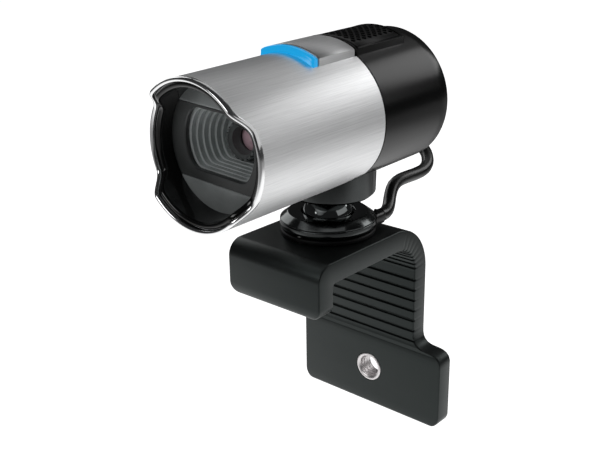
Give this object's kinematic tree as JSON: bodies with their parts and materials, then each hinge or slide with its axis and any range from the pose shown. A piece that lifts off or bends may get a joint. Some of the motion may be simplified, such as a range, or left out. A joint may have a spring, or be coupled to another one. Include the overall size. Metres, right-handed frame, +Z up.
{
  "type": "webcam on a clip stand",
  "caption": "Webcam with a round brushed-metal hood on a ball joint over a rubber-covered monitor clip with a tripod thread and a long coiled USB lead.",
  "frame": {"origin": "swivel axis of the ball joint, on the underside of the clip's top plate, where the clip rests on a monitor", "axes": "+Z up, -Y the way the lens looks, +X to the right of someone who faces the lens"},
  "size_m": [0.0917, 0.1291, 0.1331],
  "materials": {
    "clip_rubber": "soft-touch matte",
    "gloss_black": "gloss",
    "satin_black": "satin",
    "brushed_aluminium": "brushed along its length",
    "blue_light_bar": "gloss, translucent",
    "face_grey": "satin",
    "steel": "plated",
    "nickel_insert": "nickel plated, threaded",
    "nylon": "matte",
    "coated_glass": "purple anti-reflection coat",
    "circuit_board": "solder mask",
    "chip": "moulded epoxy",
    "coil_copper": "enamelled copper wire",
    "cord_pvc": "satin",
    "plug_tongue_plastic": "matte"
  },
  "bodies": {
    "mount": {"clip_plate": "clip_rubber", "bend_web": "clip_rubber", "flange_disc": "satin_black", "collar_cup": "gloss_black", "collar_cap": "gloss_black", "friction_washer": "steel", "clip_screw_1": "steel", "clip_screw_2": "steel", "clip_screw_3": "steel", "cable_gland": "satin_black", "cable": "cord_pvc", "cable_coil": "cord_pvc", "coil_tie": "satin_black", "plug_boot": "cord_pvc", "plug_body": "satin_black", "plug_shell": "steel", "plug_tongue": "plug_tongue_plastic"},
    "leg": {"rear_leg": "clip_rubber", "tripod_insert": "nickel_insert"},
    "swivel": {"socket_cup": "nylon"},
    "ball_body": {"ball": "gloss_black"},
    "head": {"ball_stem": "satin_black", "neck_front": "satin_black", "neck_rear": "satin_black", "front_sleeve": "brushed_aluminium", "hood_liner": "gloss_black", "face_frame": "face_grey", "face_blank_top": "face_grey", "face_blank_bottom": "face_grey", "rib_funnel": "face_grey", "focus_coil": "coil_copper", "sensor_board": "circuit_board", "image_sensor": "chip", "lens_carrier": "satin_black", "rear_housing": "gloss_black", "rear_cap": "gloss_black", "mic_grille": "satin_black", "light_bar": "blue_light_bar", "button_switch": "chip", "button_board": "circuit_board", "status_led": "satin_black", "main_board": "circuit_board", "main_chip": "chip", "microphone": "steel"},
    "focus": {"lens_barrel": "satin_black", "lens_glass": "coated_glass"},
    "button": {"call_button": "brushed_aluminium"}
  },
  "joints": [
    {"name": "leg_hinge", "type": "hinge", "parent": "mount", "child": "leg", "pos_m": [0, 0.01004, -0.00836], "axis": [1, 0, 0], "range_deg": [-20, 35], "deforming": ["bend_web"]},
    {"name": "head_swivel", "type": "hinge", "parent": "mount", "child": "swivel", "pos_m": [0, 0, 0.0104], "axis": [0, 0, 1], "range_deg": [-80, 80]},
    {"name": "head_lean", "type": "hinge", "parent": "swivel", "child": "ball_body", "pos_m": [0, 0, 0.0104], "axis": [-0.0035, 1, 0], "range_deg": [-12, 10]},
    {"name": "head_tilt", "type": "hinge", "parent": "ball_body", "child": "head", "pos_m": [0, 0, 0.0104], "axis": [0.9987, 0.0035, -0.0506], "range_deg": [-6, 14]},
    {"name": "focus_slide", "type": "slide", "parent": "head", "child": "focus", "axis": [0.0025, -0.9998, -0.0192], "range_m": [0, 0.0004], "stiffness_N_per_m": 40},
    {"name": "button_press", "type": "slide", "parent": "head", "child": "button", "axis": [-0.0506, 0.019, -0.9985], "range_m": [0, 0.0005], "stiffness_N_per_m": 400, "springref_m": -0.0004}
  ]
}
